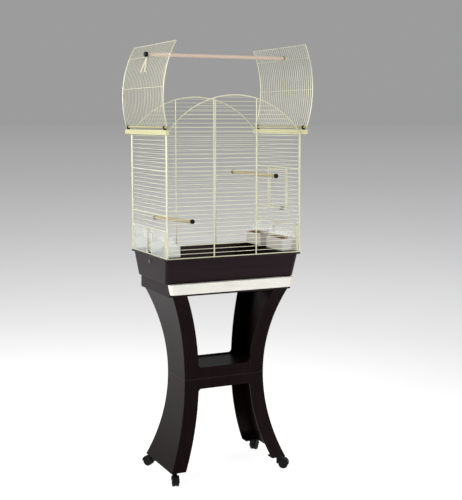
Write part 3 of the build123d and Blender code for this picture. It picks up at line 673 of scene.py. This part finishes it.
eye_gauge = 1.8 * mm
eye_radius = 2.7 * mm
eye_shank = 3 * mm
eyes = bmesh.new()
for z in (sill_z, head_wire_z):
    eye = Wire(eyes, (pin_x - eye_shank, pin_y + eye_radius, z), (1, 0, 0), eye_gauge)
    eye.run(eye_shank).bend((0, 0, -1), eye_radius, 180, 10).run(eye_shank)
add_piece("door_hinge_eyes", eyes, wire_lacquer, "cage", ["door_eyelets"])
latch_black = black_moulding("catch plastic", 0.4)
dress(["door_latch"], latch_black)


# ---------------------------------------------------------------- feeders
# Four clear cups, each moulded in one with a plate that closes its bay from outside, and a
# milky quarter-round hood clipped over its outer part. The two on the right hold seed.

def clear_moulding(name, tint, density):
    """Translucent polystyrene; the share of light it holds back is its density."""
    finish = Finish(name, Specular_IOR_Level=0.8)
    haze = finish.noise(30.0)
    finish.set(Base_Color=finish.mix(haze, tint, (0.94, 0.95, 0.93)),
               Roughness=0.10 + 0.12 * haze, Alpha=density + 0.10 * haze)
    return finish


# The bowl is frosted and the plate outside the wires is left clear.
feeder_clear = clear_moulding("cup plastic", (0.86, 0.88, 0.84), 0.16)
sideways = feeder_clear.node("ShaderNodeSeparateXYZ", {}, {0: feeder_clear.place()}, output="X")
plate_face = half_body + 0.2 * mm
inward = sideways.maths("ABSOLUTE").maths("LESS_THAN", plate_face)
feeder_clear.set(Alpha=0.08 + 0.32 * inward)
feeder_white = clear_moulding("hood plastic", (0.76, 0.78, 0.70), 0.24)
feeder_names = [side + "_" + end for side in ("left", "right") for end in ("front", "rear")]
dress(["feeder_cup_" + name for name in feeder_names], feeder_clear)
dress(["feeder_hood_" + name for name in feeder_names], feeder_white)

seed_mix = Finish("seed", Roughness=0.6, Specular_IOR_Level=0.3)
each_seed = seed_mix.node("ShaderNodeNewGeometry", output="Random Per Island")
tint = 0.5 * each_seed + 0.5 * seed_mix.noise(160.0)
seed_colour = seed_mix.ramp(tint, (0.20, (0.03, 0.015, 0.006)), (0.36, (0.17, 0.070, 0.016)),
                            (0.52, (0.27, 0.125, 0.030)), (0.66, (0.38, 0.21, 0.06)),
                            (0.82, (0.42, 0.31, 0.14)))
seed_mix.set(Base_Color=seed_colour)

plate_lap = 3.5 * mm
cup_underside = rim_z + 4.8 * mm
cup_outside = half_body - 1 * mm
feed_depth = 41 * mm
heap_height = 9 * mm
seed_count = 900
seed_shape = Matrix.Diagonal((2.6 * mm, 1.3 * mm, 1.1 * mm, 1))


def seed_bed(name, low, high, level):
    """Loose seeds heaped in a cup, over a bed that closes the heap below."""
    chance = random.Random(name)
    heap = bmesh.new()
    wall = 3.2 * mm
    bed_low = low.z + 3.0 * mm
    middle = (low + high) / 2
    width = high.x - low.x - 2 * wall
    depth = high.y - low.y - 2 * wall
    centre = Matrix.Translation((middle.x, middle.y, (bed_low + level) / 2))
    size = Matrix.Diagonal((width, depth, level - bed_low, 1))
    bmesh.ops.create_cube(heap, size=1.0, matrix=centre @ size)
    for _ in range(seed_count):
        x = chance.uniform(low.x + 2 * wall, high.x - 2 * wall)
        y = chance.uniform(low.y + 2 * wall, high.y - 2 * wall)
        lift = heap_height * (1 - ((y - middle.y) / depth * 2) ** 2)
        spin = Matrix.Rotation(chance.uniform(0, pi), 4, "Z")
        tip = Matrix.Rotation(chance.uniform(-0.5, 0.5), 4, "Y")
        spot = Matrix.Translation((x, y, level + lift * chance.uniform(0.0, 1.0)))
        bmesh.ops.create_icosphere(heap, subdivisions=1, radius=1.0,
                                   matrix=spot @ spin @ tip @ seed_shape)
    return heap


for name in ("right_front", "right_rear"):
    cup_low, cup_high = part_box("feeder_cup_" + name)
    cup_high.x = cup_outside
    cup_low.y += plate_lap
    cup_high.y -= plate_lap
    cup_low.z = cup_underside
    heap = seed_bed(name, cup_low, cup_high, cup_underside + feed_depth)
    add_piece("seed_" + name, heap, seed_mix, "feeder_" + name)


# ---------------------------------------------------------------- side rails and hinges
# Rectangular brass-plated tube along the top of each side, standing out past the ends and
# closed by cream plugs. Two black plastic saddles on it hold the rod that the roof leaf is
# hinged on.

rail_brass = Finish("polished brass plating", Metallic=0.35, Coat_Weight=0.15, Coat_Roughness=0.2)
patch = rail_brass.noise(16.0)
rail_brass.set(Base_Color=rail_brass.mix(patch, (0.56, 0.53, 0.25), (0.66, 0.63, 0.34)),
               Roughness=0.30 + 0.14 * patch)
dress(["left_rail", "right_rail"], rail_brass)
# Painted shade: this brass is darker and browner than the rail's, standing for the shadowed strip
# above the rail; the cloudy stain over it is tone that differs at random.
shaded_rod_brass = Finish("brass rod with painted shade", Metallic=0.6)
stain = shaded_rod_brass.noise(40.0)
shaded_rod_brass.set(Base_Color=shaded_rod_brass.mix(stain, (0.32, 0.30, 0.15), (0.48, 0.46, 0.26)),
              Roughness=0.35 + 0.15 * stain)
dress(["left_hinge_rod", "right_hinge_rod"], shaded_rod_brass)

cream_moulding = Finish("cream moulding")
cloud = cream_moulding.noise(40.0)
cream_moulding.set(Base_Color=cream_moulding.mix(cloud, (0.62, 0.57, 0.40), (0.76, 0.72, 0.55)),
                   Roughness=0.35 + 0.1 * cloud)

rail_wall = 1.2 * mm
plug_length = 6 * mm
plugs = bmesh.new()
for name in ("left_rail", "right_rail"):
    rail_low, rail_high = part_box(name)
    middle = (rail_low + rail_high) / 2
    width = rail_high.x - rail_low.x - 2 * rail_wall
    height = rail_high.z - rail_low.z - 2 * rail_wall
    size = Matrix.Diagonal((width, plug_length, height, 1))
    for y in (rail_low.y + plug_length / 2, rail_high.y - plug_length / 2):
        place = Matrix.Translation((middle.x, y, middle.z))
        made = bmesh.ops.create_cube(plugs, size=1.0, matrix=place @ size)
        edges = {edge for vert in made["verts"] for edge in vert.link_edges}
        bmesh.ops.bevel(plugs, geom=list(edges), offset=1.2 * mm, offset_type="OFFSET", segments=2,
                        profile=0.5, affect="EDGES", material=-1)
add_piece("rail_end_plugs", plugs, cream_moulding, "cage")

saddle_width = 8 * mm
saddle_radius = 6.2 * mm
hole_radius = 4.05 * mm
soft = 0.6 * mm
foot_width = 9 * mm
foot_lap = 1 * mm
saddle_ring = [(hole_radius, 0), (hole_radius, saddle_width), (saddle_radius - soft, saddle_width),
               (saddle_radius, saddle_width - soft), (saddle_radius, soft),
               (saddle_radius - soft, 0), (hole_radius, 0)]
for side in ("left", "right"):
    clip_low, clip_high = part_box(side + "_hinge_clips")
    clip_x = (clip_low.x + clip_high.x) / 2
    rod_z = hinges[side + "_roof_hinge"].z
    foot_height = rod_z - saddle_radius + foot_lap - clip_low.z
    foot = Matrix.Diagonal((foot_width, saddle_width, foot_height, 1))
    saddles = bmesh.new()
    for y in (clip_low.y, clip_high.y - saddle_width):
        turned(saddles, saddle_ring, facing((clip_x, y, rod_z), (0, 1, 0)))
        place = Matrix.Translation((clip_x, y + saddle_width / 2, clip_low.z + foot_height / 2))
        bmesh.ops.create_cube(saddles, size=1.0, matrix=place @ foot)
    add_piece(side + "_rod_saddles", saddles, latch_black, "cage", [side + "_hinge_clips"])


# ---------------------------------------------------------------- roof leaves
# Two halves of the roof, each a curtain of thin wires between two thick curved edge wires,
# with cross wires on the outside and a tip bar that stops short of the perch's slot.

hinge_x = hinges["right_roof_hinge"].x
hinge_z = hinges["right_roof_hinge"].z
leaf_radius = 395 * mm
meeting_gap = 7 * mm
leaf_top = apex_z + 9 * mm
leaf_chord = hypot(hinge_x - meeting_gap / 2, leaf_top - hinge_z)
leaf_sweep = 2 * asin(leaf_chord / 2 / leaf_radius)
edge_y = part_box("right_leaf")[1].y - thick / 2
leaf_wires = 13
rod_radius = 4.0 * mm
tip_gauge = 3 * mm
tip_inset = 1.5 * mm
perch_low, perch_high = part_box("play_perch")
perch_radius = (perch_high.z - perch_low.z) / 2
perch_z = (perch_low.z + perch_high.z) / 2
perch_side_gap = 1.2 * mm
perch_seat_gap = 0.3 * mm
slot_y = perch_radius + perch_side_gap + thin / 2
saddle_z = perch_low.z - perch_seat_gap - thin / 2
low_cross_share = 0.46
turn_tries = 400


def roof_leaf(side, lean):
    """One leaf, open, its chord leaning in from upright by an angle in degrees."""
    leaf = bmesh.new()
    tilt = radians(lean)
    hinge = Vector((side * hinge_x, 0, hinge_z))
    chord = Vector((-side * sin(tilt), 0, cos(tilt)))
    inward = Vector((-side * cos(tilt), 0, -sin(tilt)))
    centre = hinge + chord * leaf_chord / 2 + inward * leaf_radius * cos(leaf_sweep / 2)
    axis = Vector((0, -side, 0))

    def at(turn, radius, y):
        """A point on the leaf: how far round from the hinge, how far out, how far back."""
        spoke = Matrix.Rotation(turn, 3, axis) @ (hinge - centre).normalized()
        return centre + spoke * radius + Vector((0, y, 0))

    def curved(gauge, y, last, steps, sides):
        """One wire bent on the leaf's radius, from the hinge rod to a turn."""
        start = at(foot, leaf_radius, y)
        heading = axis.cross(start - centre - Vector((0, y, 0)))
        Wire(leaf, start, heading, gauge, sides).bend(axis, leaf_radius, degrees(last - foot), steps)

    foot = rod_radius / leaf_radius
    tip_turn = leaf_sweep - tip_inset / leaf_radius
    for sign in (-1, 1):
        curved(thick, sign * edge_y, leaf_sweep, 28, 10)
        for index in range(leaf_wires):
            y = sign * (slot_y + index * (edge_y - slot_y) / leaf_wires)
            curved(thin, y, tip_turn, 20, 6)
        bar(leaf, at(tip_turn, leaf_radius, sign * (slot_y - thin / 2)),
            at(tip_turn, leaf_radius, sign * edge_y), tip_gauge)
    # The play perch rests on the upper cross wires, so their height follows from its underside.
    outside = leaf_radius + thin
    low_turn = low_cross_share * leaf_sweep
    upper_turns = [leaf_sweep * step / turn_tries for step in range(turn_tries // 2, turn_tries)]
    high_turn = min(upper_turns, key=lambda turn: abs(at(turn, outside, 0).z - saddle_z))
    for turn in (low_turn, high_turn):
        bar(leaf, at(turn, outside, -edge_y), at(turn, outside, edge_y), thin)
    return leaf


add_piece("left_roof_wires", roof_leaf(-1, lean=6.8), wire_lacquer, "left_roof", ["left_leaf"])
add_piece("right_roof_wires", roof_leaf(1, lean=1.6), wire_lacquer, "right_roof", ["right_leaf"])


# ---------------------------------------------------------------- perches
# Turned dowels of pale wood. The two inside are capped in black outside the end panels; the
# play perch has a long black cap, a dark ring and a cream knob.

def turned_wood(name, along, pale, warm):
    """Pale turned wood with its grain along one axis."""
    finish = Finish(name)
    grain = finish.noise(260.0, drawn_out(along, 0.06), detail=5.0, roughness=0.6)
    cloud = finish.noise(9.0)
    finish.set(Base_Color=finish.mix(0.55 * grain + 0.45 * cloud, pale, warm),
               Roughness=0.48 + 0.2 * grain)
    finish.bump(grain, 0.0002, 0.4)
    return finish


dowel_wood = turned_wood("perch dowel", "Y", (0.52, 0.43, 0.25), (0.38, 0.29, 0.15))
play_wood = turned_wood("play perch dowel", "X", (0.76, 0.62, 0.52), (0.62, 0.46, 0.35))
dress(["low_perch", "high_perch"], dowel_wood)
cap_black = black_moulding("perch cap plastic", 0.42)


def end_cap(mesh, place, heading, radius, length):
    """A push-on cap with a rounded rim and a shallow dish in its end."""
    soft = 0.14 * radius
    turned(mesh, [(0, 0), (radius - soft, 0), (radius, soft), (radius, length - soft),
                  (radius - soft, length), (0.62 * radius, length), (0.5 * radius, length - soft),
                  (0, length - soft)], facing(place, heading))


panel_gap = 2 * (abs(body_low.y) - thick)
cap_length = 8 * mm
cap_gap = 0.7 * mm
perch_slopes = {"low_perch": atan2(row_pitch, panel_gap), "high_perch": 0.0}
for name, slope in perch_slopes.items():
    cap_low, cap_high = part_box(name + "_caps")
    cap_radius = (cap_high.x - cap_low.x) / 2
    dowel_low, dowel_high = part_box(name)
    middle = (dowel_low + dowel_high) / 2
    reach = panel_gap / 2 / cos(slope) + cap_gap
    caps = bmesh.new()
    for sign in (-1, 1):
        heading = Vector((0, sign * cos(slope), -sign * sin(slope)))
        end_cap(caps, middle + heading * reach, heading, cap_radius, cap_length)
    add_piece(name + "_end_caps", caps, cap_black, "cage", [name + "_caps"])

dowel = bmesh.new()
bar(dowel, (perch_low.x, 0, perch_z), (perch_high.x, 0, perch_z), 2 * perch_radius, 40)
add_piece("play_perch_dowel", dowel, play_wood, "top_perch", ["play_perch"])

ends_low, ends_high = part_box("play_perch_ends")
ends_radius = (ends_high.z - ends_low.z) / 2
ends = bmesh.new()
end_cap(ends, (perch_low.x, 0, perch_z), (-1, 0, 0), ends_radius, perch_low.x - ends_low.x)
end_cap(ends, (perch_high.x, 0, perch_z), (1, 0, 0), ends_radius, ends_high.x - perch_high.x)
add_piece("play_perch_end_caps", ends, cap_black, "top_perch", ["play_perch_ends"])

knob_low, knob_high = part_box("play_perch_knob")
knob_radius = (knob_high.z - knob_low.z) / 2
knob_length = knob_high.x - knob_low.x
knob_neck = 0.12
knob_steps = 12
knob_profile = [(0, 0)]
for step in range(knob_steps + 1):
    share = step / knob_steps
    swell = sin(pi * (knob_neck + (1 - knob_neck) * share))
    knob_profile.append((knob_radius * swell, knob_length * share))
knob = bmesh.new()
turned(knob, knob_profile, facing((knob_low.x, 0, perch_z), (1, 0, 0)))
add_piece("play_perch_ball", knob, cream_moulding, "top_perch", ["play_perch_knob"])
dress(["perch_strut"], cream_moulding)
